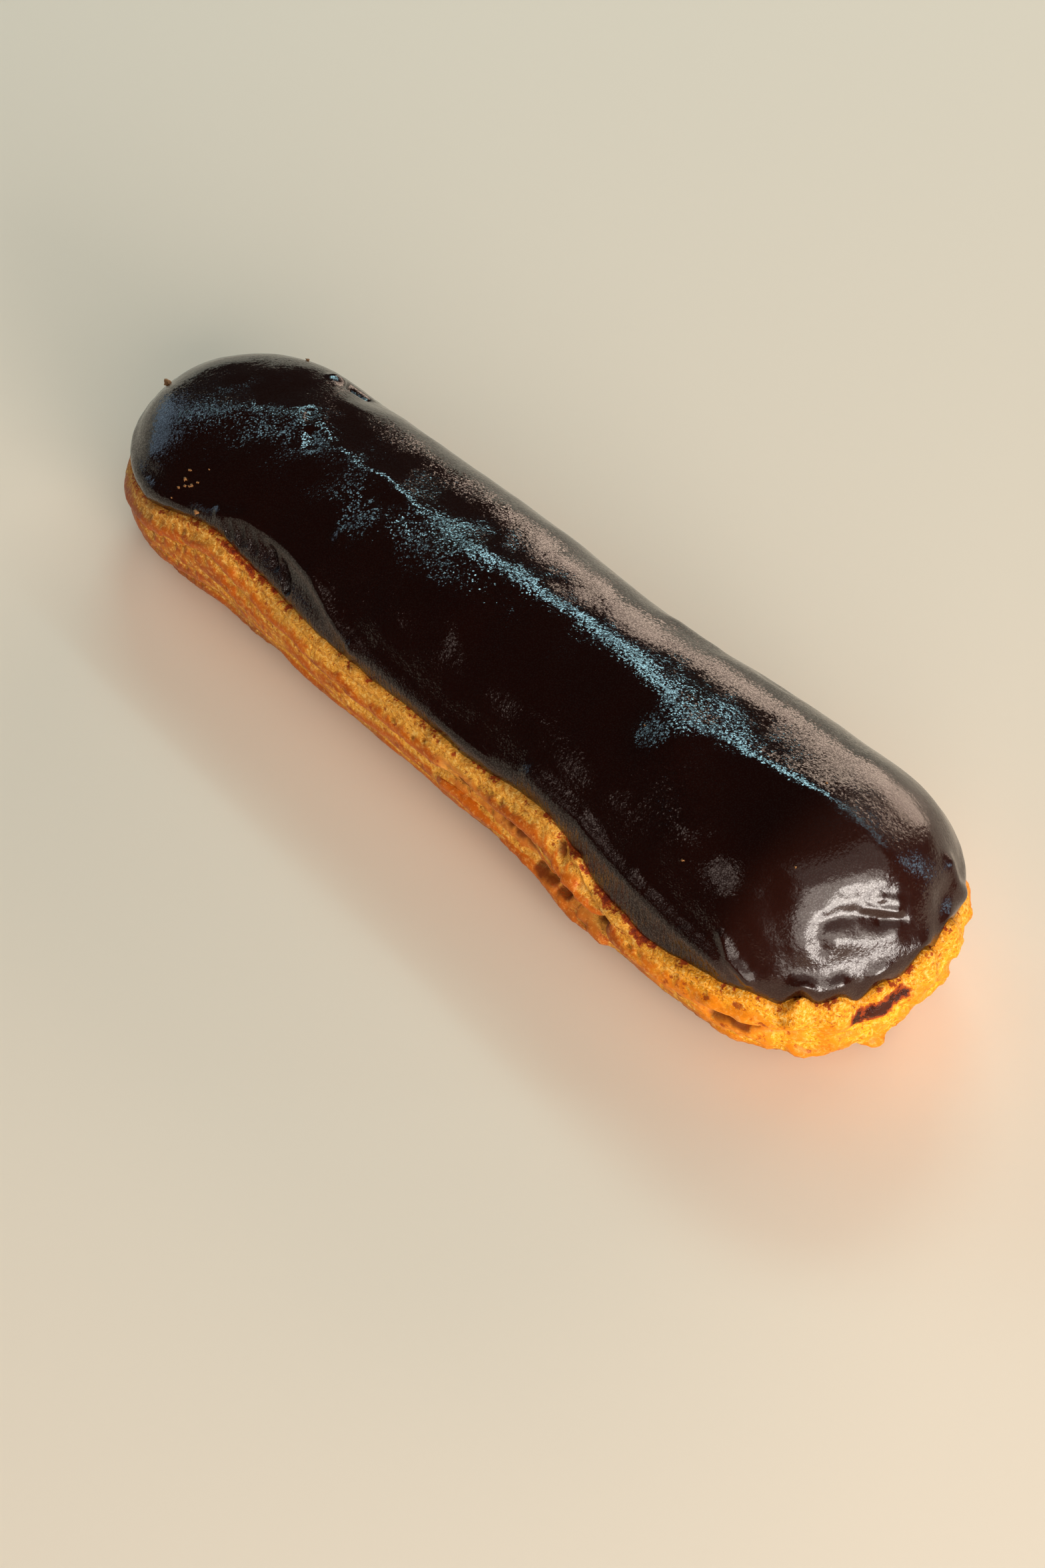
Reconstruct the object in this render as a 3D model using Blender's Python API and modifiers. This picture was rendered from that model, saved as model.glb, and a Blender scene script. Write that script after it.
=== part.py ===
"""Chocolate eclair: a finger of choux pastry under a thick skin of dark chocolate icing.

The scene is in metres, and sizes are given in millimetres times MM. +X runs along the eclair to
its blunter end, -Y is the long side with the split, and +Z is up. The origin is on the surface
that the eclair lies on, below the middle of its box.

Bun and icing are mapped from one lattice: a cube cut into rows and columns whose points are
moved onto the eclair. So the icing's inner skin follows the pastry below it point for point.
"""

import math

import bmesh
import bpy
from mathutils import Vector, noise

MM = 0.001
NAME = "chocolate_eclair"

# Outline of the eclair, from the -X end to the +X end at equal steps
LENGTH = 146.6 * MM
NEAR_HALF_WIDTHS = [w * MM for w in (20.4, 18.4, 18.6, 18.8, 20.2, 18.4)]
FAR_HALF_WIDTHS = [w * MM for w in (19.4, 19.8, 19.8, 18.8, 20.3, 19.2)]
TOP_HEIGHTS = [h * MM for h in (25.0, 28.0, 29.2, 29.8, 30.5)]

# Section: widest at the belly, tucked in below it, and a full dome above it
BELLY = 9 * MM
FOOT_ELEVATION = math.radians(-48)
LEVEL_POWER = 0.85
RISE_POWER = 0.9

# Icing: its own depth, the clearance under it, and the shelf in the pastry that it fills
ICING_DEPTH = 2.0 * MM
RIM_BEAD = 0.5 * MM
ICING_GAP = 0.4 * MM
SHELF = 0.8 * MM
MARGIN = 15.6 * MM

# Piped ridges that run lengthwise round the pastry wall
RIDGE_PITCH = 4.6 * MM
RIDGE_DEPTH = 0.35 * MM
RIDGE_SWAY = 0.7 * MM
RIDGE_SWAY_LENGTH = 62 * MM

# Unevenness of the baked wall, rougher at the +X end
ROUGHNESS = 0.3 * MM
END_ROUGHNESS = 0.8 * MM
LUMP_SIZE = 7 * MM

# Lattice cells: along X with both ends, across Y, and rows up the wall and up the icing's side
END_CELLS = 5
SPAN_CELLS = 50
CELLS_X = SPAN_CELLS + 2 * END_CELLS
CELLS_Y = 2 * END_CELLS
WALL_ROWS = 13
ICING_ROWS = 5
EDGE_ROW = WALL_ROWS + 1
ROWS = WALL_ROWS + ICING_ROWS

# Smooth swellings (+) and dents (-) of the whole surface: place, amount and spread, in mm
SWELLINGS = {
    "cheek of the -X end": ((-68, 5, 19), 0.7, 8),
    "hollow in the near wall": ((-37, -19, 8), -0.8, 8),
    "cheek of the +X end": ((71, 6, 19), 0.7, 9),
    "belly of the lower shell": ((53, -20, 8), 0.6, 8),
    "waist on the far side": ((20, 18, 20), -0.5, 11),
    "oval dent in the end's icing": ((69, -7, 23.5), -1.5, 4.5),
    "crescent below the dent": ((67, -13, 21), 0.6, 3.5),
    "shoulder above the dent": ((61, -5, 29), 0.5, 6),
    "pinch in the icing's near side": ((-30, -16, 19.5), -0.9, 4),
    "crater at the far edge": ((-44, 13, 23.5), -0.9, 3),
    "bump beside the crater": ((-49, 12, 24), 0.5, 3),
}

# Where the icing's edge hangs lower (-) or stops higher (+): plan place, amount, spread, in mm
MARGIN_CHANGES = {
    "low at the -X end": ((-65, -15), -1.5, 9),
    "high before the pinch": ((-43, -18), 2.4, 6),
    "high past the middle": ((25, -18), 2.2, 6),
    "low apron": ((45, -20), -2.9, 9),
    "low at the end's near corner": ((68, -12), -1.1, 7),
    "high at the end": ((72, 3), 1.3, 4),
}

# Splits in the near wall: both ends of the opening, its depth and half its height, in mm
SPLITS = {
    "long split": ((7, 9.4), (39, 8.2), 1.2, 0.9),
    "short split": ((56, 9.2), (66, 10.8), 1.0, 0.9),
}
LIP_RISE = 1.9 * MM
LIP_SHARE = 0.4

CRUST_COLOUR = (0.56, 0.24, 0.045, 1.0)
CHOCOLATE_COLOUR = (0.012, 0.005, 0.003, 1.0)


def clear_scene():
    """Remove the objects that a new file starts with."""
    for thing in list(bpy.data.objects):
        bpy.data.objects.remove(thing, do_unlink=True)


def ease(edge, past, value):
    """Smooth step from 0 at edge to 1 at past."""
    t = min(1.0, max(0.0, (value - edge) / (past - edge)))
    return t * t * (3 - 2 * t)


def along(values, x):
    """Value at x of a list given at equal steps over the eclair's length."""
    place = (x / LENGTH + 0.5) * (len(values) - 1)
    place = min(len(values) - 1.0, max(0.0, place))
    index = min(len(values) - 2, int(place))
    return values[index] + (values[index + 1] - values[index]) * ease(0.0, 1.0, place - index)


def dab(point, centre, spread):
    """Soft round weight: 1 at the centre, fading out over the spread."""
    return math.exp(-(point - centre).length_squared / (2 * (spread * MM) ** 2))


def end_radius(sign):
    """Reach of the rounded end, as the mean of its two half widths."""
    index = 0 if sign < 0 else -1
    return (NEAR_HALF_WIDTHS[index] + FAR_HALF_WIDTHS[index]) / 2


def spine(column):
    """Place on the middle line of a lattice column, and its lean into the rounded end, -1 to 1."""
    start = -LENGTH / 2 + end_radius(-1)
    finish = LENGTH / 2 - end_radius(1)
    step = min(SPAN_CELLS, max(0, column - END_CELLS))
    lean = (column - END_CELLS - step) / END_CELLS
    return start + (finish - start) * step / SPAN_CELLS, lean


def margin_height(x, y):
    """Height of the icing's edge above this place in plan."""
    height = MARGIN
    for place, amount, spread in MARGIN_CHANGES.values():
        height += amount * MM * dab(Vector((x, y, 0)), Vector(place).to_3d() * MM, spread)
    return height


def elevation_at(height, top):
    """Elevation of the surface point at this height, where the eclair is top high."""
    if height < BELLY:
        return math.asin(math.sin(FOOT_ELEVATION) * (1 - height / BELLY))
    return math.asin(((height - BELLY) / (top - BELLY)) ** (1 / RISE_POWER))


def row_elevation(row, x, y, reach):
    """Elevation of a lattice row: even steps up the wall, then up the icing's side."""
    top = along(TOP_HEIGHTS, x)
    edge = margin_height(x, y)
    if row <= WALL_ROWS:
        return elevation_at((edge - SHELF) * row / WALL_ROWS, top)
    crown = math.atan2(1, reach)
    low = elevation_at(edge, top)
    return low + (crown - low) * (row - EDGE_ROW) / (ROWS - EDGE_ROW)


def ridges(x, height, edge):
    """Lengthwise piped ridges, which fade out at the foot and under the icing."""
    sway = RIDGE_SWAY * math.sin(2 * math.pi * x / RIDGE_SWAY_LENGTH)
    wave = math.cos(2 * math.pi * (edge - height + sway) / RIDGE_PITCH)
    fade = ease(1 * MM, 3 * MM, height) * (1 - ease(edge - 2.5 * MM, edge - SHELF, height))
    return RIDGE_DEPTH * wave * fade


def split_relief(x, y, height):
    """Groove of each split in the near wall, with the lip that stands over it."""
    total = 0.0
    for start, finish, depth, half in SPLITS.values():
        share = (x / MM - start[0]) / (finish[0] - start[0])
        line = (start[1] + (finish[1] - start[1]) * share) * MM
        taper = ease(-0.08, 0.12, share) * (1 - ease(0.88, 1.08, share)) * ease(-8, -14, y / MM)
        groove = math.exp(-((height - line) / (half * MM)) ** 2)
        lip = math.exp(-((height - line - LIP_RISE) / (half * MM)) ** 2)
        total += depth * MM * taper * (LIP_SHARE * lip - groove)
    return total


def unevenness(place, edge):
    """Soft lumps of the baked wall, with none at the foot or under the icing."""
    amount = ROUGHNESS + (END_ROUGHNESS - ROUGHNESS) * ease(52 * MM, 68 * MM, place.x)
    fade = ease(0, 3 * MM, place.z) * (1 - ease(edge - 3 * MM, edge - SHELF, place.z))
    return amount * fade * noise.noise(place / LUMP_SIZE)


def eclair_point(column, across, row, inset):
    """Place of one lattice point on the eclair, drawn in by inset below its outer surface."""
    x0, lean = spine(column)
    level = Vector((math.tan(math.pi / 4 * lean), math.tan(math.pi / 4 * across)))
    reach = level.length
    heading = level.normalized()
    radius = end_radius(lean) if lean else 0.0
    half_width = along(NEAR_HALF_WIDTHS if heading.y < 0 else FAR_HALF_WIDTHS, x0)
    belly_x = x0 + radius * heading.x
    belly_y = half_width * heading.y
    edge = margin_height(belly_x, belly_y)
    if row < ROWS:
        elevation = row_elevation(row, belly_x, belly_y, reach)
    else:
        elevation = math.atan2(1, reach)
    level_share = math.cos(elevation) ** LEVEL_POWER
    x = x0 + (radius - inset) * level_share * heading.x
    y = (half_width - inset) * level_share * heading.y
    if elevation > 0:
        rise = along(TOP_HEIGHTS, x) - BELLY - inset
        z = BELLY + rise * math.sin(elevation) ** RISE_POWER
    else:
        z = BELLY * (1 - math.sin(elevation) / math.sin(FOOT_ELEVATION))
    place = Vector((x, y, z))
    outward = Vector((heading.x * math.cos(elevation), heading.y * math.cos(elevation),
                      max(0.0, math.sin(elevation)))).normalized()
    amount = 0.0
    for centre, swelling, spread in SWELLINGS.values():
        amount += swelling * MM * dab(place, Vector(centre) * MM, spread)
    amount *= ease(0, 4 * MM, z)
    if row <= WALL_ROWS:
        amount += ridges(x, z, edge) + split_relief(x, y, z) + unevenness(place, edge)
    return place + outward * amount


def lattice():
    """Cube from -1 to 1 cut into the lattice's cells."""
    bm = bmesh.new()
    bmesh.ops.create_cube(bm, size=2)
    for axis, cells in enumerate((CELLS_X, CELLS_Y, ROWS)):
        edges = []
        for edge in bm.edges:
            run = edge.verts[1].co - edge.verts[0].co
            if abs(run[axis]) > 0.5:
                edges.append(edge)
        bmesh.ops.subdivide_edges(bm, edges=edges, cuts=cells - 1, use_grid_fill=True)
    return bm


def lattice_row(vert):
    """Row number of a lattice point, from the foot up."""
    return round((vert.co.z + 1) / 2 * ROWS)


def move_onto_eclair(bm, rows, inset_of_row):
    """Move each lattice point to its place on the eclair."""
    for vert in bm.verts:
        column = round((vert.co.x + 1) / 2 * CELLS_X)
        row = rows[vert.index]
        vert.co = eclair_point(column, vert.co.y, row, inset_of_row(row))


def finish_object(bm, name, colour, roughness):
    """Turn the lattice into a named object with a material of its own."""
    mesh = bpy.data.meshes.new(name)
    bm.to_mesh(mesh)
    bm.free()
    mesh.shade_smooth()
    thing = bpy.data.objects.new(name, mesh)
    material = bpy.data.materials.new(name + "_surface")
    material.use_nodes = True
    shader = material.node_tree.nodes["Principled BSDF"]
    shader.inputs["Base Color"].default_value = colour
    shader.inputs["Roughness"].default_value = roughness
    shader.inputs["Metallic"].default_value = 0.0
    mesh.materials.append(material)
    bpy.data.collections[NAME].objects.link(thing)
    return thing


def make_bun():
    """Solid choux bun with a flat base and a shelf where the icing starts."""
    bm = lattice()
    below = [vert for vert in bm.verts
             if lattice_row(vert) == 0 and max(abs(vert.co.x), abs(vert.co.y)) < 0.999]
    bmesh.ops.delete(bm, geom=below, context="VERTS")
    bm.verts.index_update()
    rows = [lattice_row(vert) for vert in bm.verts]
    move_onto_eclair(bm, rows, lambda row: ICING_DEPTH + ICING_GAP if row >= EDGE_ROW else 0.0)
    foot = [edge for edge in bm.edges if edge.is_boundary]
    bmesh.ops.contextual_create(bm, geom=foot)
    bmesh.ops.recalc_face_normals(bm, faces=bm.faces)
    return finish_object(bm, "choux_bun", CRUST_COLOUR, 0.6)


def make_icing():
    """Skin of icing over the bun, thin at its edge and with a bead just above it."""
    bm = lattice()
    lower = [vert for vert in bm.verts if lattice_row(vert) < EDGE_ROW]
    bmesh.ops.delete(bm, geom=lower, context="VERTS")
    bm.verts.index_update()
    rows = [lattice_row(vert) for vert in bm.verts]
    move_onto_eclair(bm, rows, lambda row: ICING_DEPTH)
    icing = finish_object(bm, "chocolate_icing", CHOCOLATE_COLOUR, 0.25)
    full_depth = ICING_DEPTH + RIM_BEAD
    depth = icing.vertex_groups.new(name="depth")
    for index, row in enumerate(rows):
        if row == EDGE_ROW:
            share = 0.6
        elif row == EDGE_ROW + 1:
            share = 1.0
        else:
            share = ICING_DEPTH / full_depth
        depth.add([index], share, "REPLACE")
    shell = icing.modifiers.new("shell", "SOLIDIFY")
    shell.thickness = full_depth
    shell.offset = 1.0
    shell.vertex_group = depth.name
    return icing


def stand_on_origin(things):
    """Move the meshes so that the middle of the eclair's box is over the origin."""
    bpy.context.view_layer.update()
    depsgraph = bpy.context.evaluated_depsgraph_get()
    corners = [Vector(corner) for thing in things for corner in thing.evaluated_get(depsgraph).bound_box]
    middle_x = (min(c.x for c in corners) + max(c.x for c in corners)) / 2
    middle_y = (min(c.y for c in corners) + max(c.y for c in corners)) / 2
    for thing in things:
        for vert in thing.data.vertices:
            vert.co -= Vector((middle_x, middle_y, 0))


def main():
    clear_scene()
    collection = bpy.data.collections.new(NAME)
    bpy.context.scene.collection.children.link(collection)
    stand_on_origin([make_bun(), make_icing()])


main()
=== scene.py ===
# %% [markdown]
# # A chocolate eclair
#
# An eclair is a finger of choux pastry under a thick skin of dark chocolate icing. The packed
# model holds both as plain solids. This lesson gives them their looks: the glossy, slightly
# grainy icing with its folds and dents, and the baked crust with its ridges, pores and splits.

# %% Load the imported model
import math

import bpy
import numpy as np
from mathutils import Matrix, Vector, kdtree, noise


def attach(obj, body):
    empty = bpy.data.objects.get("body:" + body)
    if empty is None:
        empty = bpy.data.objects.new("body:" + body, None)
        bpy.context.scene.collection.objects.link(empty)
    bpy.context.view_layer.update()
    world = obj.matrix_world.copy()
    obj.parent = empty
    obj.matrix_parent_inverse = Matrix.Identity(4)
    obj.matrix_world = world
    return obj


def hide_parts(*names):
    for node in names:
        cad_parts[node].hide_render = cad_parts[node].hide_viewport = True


MM = 0.001
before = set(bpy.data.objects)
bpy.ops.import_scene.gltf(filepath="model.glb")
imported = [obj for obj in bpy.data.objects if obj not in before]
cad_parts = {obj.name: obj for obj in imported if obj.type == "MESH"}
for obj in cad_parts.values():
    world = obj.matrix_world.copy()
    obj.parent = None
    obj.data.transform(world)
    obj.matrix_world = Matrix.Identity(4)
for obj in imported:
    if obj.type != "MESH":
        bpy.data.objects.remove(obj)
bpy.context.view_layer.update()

# %% [markdown]
# ## The camera
#
# The photograph looks down on the near side of the eclair, halfway between overhead and level,
# with the blunt end nearest. Its angles were found by fitting the outline, and a small shift of
# the lens puts the eclair above the middle of the picture.

# %% Camera
VIEW_AZIMUTH = math.radians(46.73)
VIEW_ELEVATION = math.radians(47)
VIEW_DISTANCE = 333.4 * MM
LOOK_AT = Vector((0, 0, 12 * MM))
LENS = 56.45
SHIFT_X = 0.0094
SHIFT_Y = -0.0775
NEAREST_SEEN = 10 * MM


def heading(azimuth, elevation):
    """Unit vector towards a compass direction, from +X round to +Y, and a height above level."""
    level = math.cos(elevation)
    return Vector((math.cos(azimuth) * level, math.sin(azimuth) * level, math.sin(elevation)))


towards_camera = heading(VIEW_AZIMUTH - math.pi / 2, VIEW_ELEVATION)
bpy.ops.object.camera_add(location=LOOK_AT + towards_camera * VIEW_DISTANCE)
camera = bpy.context.object
camera.rotation_euler = (-towards_camera).to_track_quat("-Z", "Y").to_euler()
camera.data.lens = LENS
camera.data.shift_x = SHIFT_X
camera.data.shift_y = SHIFT_Y
camera.data.clip_start = NEAREST_SEEN
bpy.context.scene.camera = camera
bpy.context.scene.view_settings.view_transform = "Standard"
print("camera", VIEW_DISTANCE / MM, "mm from the eclair, with a lens of", LENS, "mm")

# %% [markdown]
# ## Helpers for the finishes
#
# Every finish here is a Principled shader with procedural nodes: noise and cells give its grain,
# values painted on the mesh say where it changes, and bump gives the relief that is too small to
# model. A small class keeps each finish to a few lines that can be read.


# %% Colours and node helpers
def linear(red, green, blue):
    """Shader colour of a screen colour given from 0 to 255."""
    parts = []
    for part in (red, green, blue):
        share = part / 255
        parts.append(share / 12.92 if share <= 0.04045 else ((share + 0.055) / 1.055) ** 2.4)
    return (*parts, 1.0)


class Finish:
    """A material with a Principled shader, and short ways to add nodes to it."""

    def __init__(self, name):
        self.material = bpy.data.materials.new(name)
        self.material.use_nodes = True
        self.tree = self.material.node_tree
        self.shader = self.tree.nodes["Principled BSDF"]

    def add(self, kind, inputs=None, **settings):
        """Add a node. An input is a constant or another node's output."""
        node = self.tree.nodes.new(kind)
        for name, value in settings.items():
            setattr(node, name, value)
        for name, value in (inputs or {}).items():
            self.feed(node, name, value)
        return node

    def feed(self, node, name, value):
        """Set an input to a constant, or link it to an output."""
        if isinstance(value, bpy.types.NodeSocket):
            self.tree.links.new(value, node.inputs[name])
        else:
            node.inputs[name].default_value = value

    def places(self, scale=(1, 1, 1)):
        """Object coordinates in millimetres, stretched by the scale."""
        source = self.add("ShaderNodeTexCoord").outputs["Object"]
        size = [part / MM for part in scale]
        return self.add("ShaderNodeMapping", {"Vector": source, "Scale": size}).outputs["Vector"]

    def grain(self, size, detail=2.0, roughness=0.5, stretch=(1, 1, 1)):
        """Cloudy noise from 0 to 1 with features of this size in millimetres."""
        inputs = {"Vector": self.places(stretch), "Scale": 1 / size, "Detail": detail,
                  "Roughness": roughness}
        return self.add("ShaderNodeTexNoise", inputs).outputs["Fac"]

    def cells(self, size):
        """Cells of this size in millimetres, as a node with a distance and a random colour."""
        return self.add("ShaderNodeTexVoronoi", {"Vector": self.places(), "Scale": 1 / size})

    def ramp(self, value, low, high, start=0.0, end=1.0):
        """Smooth step of a value from start at low to end at high."""
        inputs = {"Value": value, "From Min": low, "From Max": high, "To Min": start, "To Max": end}
        return self.add("ShaderNodeMapRange", inputs, interpolation_type="SMOOTHSTEP").outputs[0]

    def maths(self, kind, first, second):
        """Math node of this kind on two values."""
        return self.add("ShaderNodeMath", {0: first, 1: second}, operation=kind).outputs[0]

    def mix(self, share, first, second):
        """Blend of two colours."""
        # Sockets 6 and 7 of this node take colours, and its output 2 gives their blend
        node = self.add("ShaderNodeMix", {0: share, 6: first, 7: second}, data_type="RGBA")
        return node.outputs[2]

    def attribute(self, name):
        """Value painted on the mesh's points."""
        return self.add("ShaderNodeAttribute", attribute_name=name).outputs["Fac"]

    def vectors(self, kind, inputs):
        """Vector math node of this kind."""
        return self.add("ShaderNodeVectorMath", inputs, operation=kind).outputs[0]

    def bump(self, height, depth, before=None):
        """Bump of this depth in millimetres, on top of another."""
        inputs = {"Height": height, "Distance": depth * MM, "Strength": 1.0}
        if before is not None:
            inputs["Normal"] = before
        return self.add("ShaderNodeBump", inputs).outputs["Normal"]


# %% [markdown]
# ## Floor and light
#
# The eclair lies on a plain pale floor. Cool windows stand behind it: their reflection is the
# long blue streak on the icing's ridge. Warm lamps on the right light the blunt end, and broad
# weak ones fill the shade. All are area lights, so that their reflections have soft edges.

# %% Floor
FLOOR_SIDE = 3.0
FLOOR_COLOUR = linear(243, 227, 207)
FLOOR_ROUGHNESS = 0.85
FLOOR_SHINE = 0.2
bpy.ops.mesh.primitive_plane_add(size=FLOOR_SIDE, location=(0, 0, 0))
floor = bpy.context.object
floor.name = "floor"
floor_finish = Finish("pale_floor")
floor_finish.feed(floor_finish.shader, "Base Color", FLOOR_COLOUR)
floor_finish.feed(floor_finish.shader, "Roughness", FLOOR_ROUGHNESS)
floor_finish.feed(floor_finish.shader, "Specular IOR Level", FLOOR_SHINE)
floor.data.materials.append(floor_finish.material)
print("floor", FLOOR_SIDE, "m wide")


# %% Lights
def soft_light(name, azimuth, elevation, distance, width, height, radiance, colour, shape):
    """Flat light that faces the eclair, with its brightness given per unit of its area."""
    area = width * height
    if shape == "ELLIPSE":
        area *= math.pi / 4
    direction = heading(math.radians(azimuth), math.radians(elevation))
    bpy.ops.object.light_add(type="AREA", location=LOOK_AT + direction * distance)
    lamp = bpy.context.object
    lamp.name = name
    lamp.rotation_euler = direction.to_track_quat("Z", "Y").to_euler()
    lamp.data.shape = shape
    lamp.data.size = width
    lamp.data.size_y = height
    lamp.data.energy = radiance * math.pi * area
    lamp.data.color = colour


# Name, azimuth and elevation in degrees, distance, width and height in metres, brightness,
# colour and shape
LIGHTS = [
    ("window", 130, 40, 1.0, 0.38, 0.13, 16.0, (0.50, 0.84, 0.92), "RECTANGLE"),
    ("window_strip", 85, 46, 1.0, 0.8, 0.05, 8.0, (0.50, 0.82, 0.95), "RECTANGLE"),
    ("window_left", 171, 33, 1.0, 0.5, 0.14, 4.4, (0.50, 0.82, 0.94), "RECTANGLE"),
    ("window_right", 46, 13, 1.0, 0.08, 0.24, 6.5, (0.48, 0.80, 1.0), "RECTANGLE"),
    ("left_wall", -172, 10, 1.1, 0.7, 0.42, 1.2, (0.55, 0.78, 1.0), "RECTANGLE"),
    ("warm_lamp", -13, 11, 0.8, 0.42, 0.26, 15.4, (1.0, 0.92, 0.85), "ELLIPSE"),
    ("warm_side", -27, 23, 0.8, 0.9, 0.46, 4.0, (1.0, 0.90, 0.80), "ELLIPSE"),
    ("front_glow", -112, 33, 0.8, 0.13, 0.32, 1.7, (1.0, 0.80, 0.70), "ELLIPSE"),
    ("soft_front", -20, 52, 1.0, 1.20, 0.90, 0.66, (1.0, 0.92, 0.82), "RECTANGLE"),
    ("far_wall", 100, 13, 1.2, 1.05, 0.52, 4.6, (1.0, 0.76, 0.60), "RECTANGLE"),
]
for light in LIGHTS:
    soft_light(*light)

ROOM_COLOUR = (1.0, 0.92, 0.84, 1.0)
ROOM_BRIGHTNESS = 0.05
world = bpy.context.scene.world or bpy.data.worlds.new("room")
bpy.context.scene.world = world
world.use_nodes = True
world.node_tree.nodes["Background"].inputs["Color"].default_value = ROOM_COLOUR
world.node_tree.nodes["Background"].inputs["Strength"].default_value = ROOM_BRIGHTNESS
print(len(LIGHTS), "area lights")

# %% [markdown]
# ## Tools for the two main pieces
#
# Both pieces start as a copy of their CAD solid, whose triangles are welded and turned back into
# a grid of four-sided faces. A grid subdivides cleanly. The forms are then modelled on it: a few
# big moves first, small ones later on the finer mesh. The moves are written as soft weights round
# a place or a line, which is what a sculpting brush does.


# %% Selecting and reading a mesh
def pick_only(piece):
    """Select one object and make it active."""
    bpy.ops.object.select_all(action="DESELECT")
    piece.select_set(True)
    bpy.context.view_layer.objects.active = piece


def select_faces(piece, chosen):
    """Select faces by a list of yes and no, one for each."""
    mesh = piece.data
    mesh.vertices.foreach_set("select", np.zeros(len(mesh.vertices), bool))
    mesh.edges.foreach_set("select", np.zeros(len(mesh.edges), bool))
    mesh.polygons.foreach_set("select", np.asarray(chosen, bool))
    bpy.context.tool_settings.mesh_select_mode = (False, False, True)


def edit_open_edges(piece):
    """Enter edit mode on a piece with only its open edges selected."""
    pick_only(piece)
    bpy.ops.object.mode_set(mode="EDIT")
    bpy.context.tool_settings.mesh_select_mode = (False, True, False)
    bpy.ops.mesh.select_all(action="DESELECT")
    bpy.ops.mesh.select_non_manifold(extend=False, use_wire=False, use_multi_face=False,
                                     use_non_contiguous=False, use_verts=False)


def read(collection, key):
    """One vector of three numbers for each item, as rows of an array."""
    values = np.empty(len(collection) * 3)
    collection.foreach_get(key, values)
    return values.reshape(-1, 3)


def points(piece):
    """Places of a piece's points in millimetres."""
    return read(piece.data.vertices, "co") / MM


def outward(piece):
    """Directions that a piece's points face."""
    return read(piece.data.vertex_normals, "vector")


def set_points(piece, places):
    """Move a piece's points to these places in millimetres."""
    piece.data.vertices.foreach_set("co", (places * MM).ravel())
    piece.data.update()


def paint(piece, name, values):
    """Store a value from 0 to 1 on each point, for a material to read."""
    layer = piece.data.attributes.new(name, "FLOAT", "POINT")
    layer.data.foreach_set("value", np.clip(values, 0, 1).astype(np.float32))


def tree_of(places):
    """Search tree that finds the nearest of these places."""
    tree = kdtree.KDTree(len(places))
    for index, place in enumerate(places):
        tree.insert(place, index)
    tree.balance()
    return tree


# %% Measures along the eclair
SPINE_END = 54.0
BELLY_HEIGHT = 9.0


def smooth_step(low, high, values):
    """0 below low, 1 above high, and a soft curve between."""
    share = np.clip((values - low) / (high - low), 0, 1)
    return share * share * (3 - 2 * share)


def from_spine(places):
    """Vector to each place from the line along the middle of the eclair, at belly height."""
    middle = np.zeros_like(places)
    middle[:, 0] = np.clip(places[:, 0], -SPINE_END, SPINE_END)
    middle[:, 2] = BELLY_HEIGHT
    return places - middle


# %% Welding a copy of a CAD node
WELD_DISTANCE = 0.01 * MM


def grid_copy(node, name):
    """Copy of a CAD node as one welded grid of four-sided faces."""
    piece = bpy.data.objects.new(name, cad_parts[node].data.copy())
    bpy.context.scene.collection.objects.link(piece)
    piece.data.materials.clear()
    pick_only(piece)
    bpy.ops.object.mode_set(mode="EDIT")
    bpy.ops.mesh.customdata_custom_splitnormals_clear()
    bpy.ops.mesh.select_all(action="SELECT")
    bpy.ops.mesh.remove_doubles(threshold=WELD_DISTANCE)
    bpy.ops.mesh.tris_convert_to_quads(face_threshold=math.pi, shape_threshold=math.pi)
    bpy.ops.object.mode_set(mode="OBJECT")
    bpy.ops.object.shade_smooth()
    sides = [len(face.vertices) for face in piece.data.polygons]
    print(name, "has", sides.count(4), "four-sided faces of", len(sides))
    return piece


def apply_modifiers(piece):
    """Apply a piece's modifiers in order."""
    pick_only(piece)
    for modifier in list(piece.modifiers):
        bpy.ops.object.modifier_apply(modifier=modifier.name)


def subdivide(piece, levels):
    """Smooth a piece with more faces."""
    surface = piece.modifiers.new("smooth", "SUBSURF")
    surface.levels = levels
    surface.render_levels = levels
    apply_modifiers(piece)


def refine(piece, chosen, cuts):
    """Cut the chosen faces finer."""
    select_faces(piece, chosen)
    pick_only(piece)
    bpy.ops.object.mode_set(mode="EDIT")
    bpy.ops.mesh.subdivide(number_cuts=cuts, smoothness=0.0)
    bpy.ops.mesh.vertices_smooth(factor=0.5, repeat=2)
    bpy.ops.object.mode_set(mode="OBJECT")


# %% Brushes
def dab(places, centre, spread):
    """Soft weight round a place: 1 at the centre, fading over the spread."""
    away = places - np.array(centre)
    return np.exp(-(away ** 2).sum(1) / (2 * spread ** 2))


def stroke(places, line, spread):
    """Soft weight along a line of places."""
    weight = np.zeros(len(places))
    for start, finish in zip(line, line[1:]):
        start, run = np.array(start, float), np.array(finish, float) - np.array(start, float)
        share = np.clip(((places - start) @ run) / (run @ run), 0, 1)
        away = places - start - share[:, None] * run
        weight = np.maximum(weight, np.exp(-(away ** 2).sum(1) / (2 * spread ** 2)))
    return weight


def clouds(places, size, seed=0.0, octaves=2):
    """Noise from about -1 to 1 at each place, with features of this size."""
    shift = Vector((seed, -seed, seed * 0.5))
    values = []
    for place in places:
        values.append(noise.fractal(Vector(place) / size + shift, 0.6, 2.0, octaves))
    return np.array(values)


# %% [markdown]
# ## The icing's uneven edge
#
# The icing ran down over the pastry and stopped at an uneven line, with lobes of crust that stand
# up between its drips at the blunt end. Pastry and icing meet at that line, so one function moves
# both of them there, and they stay fitted to each other.

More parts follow.
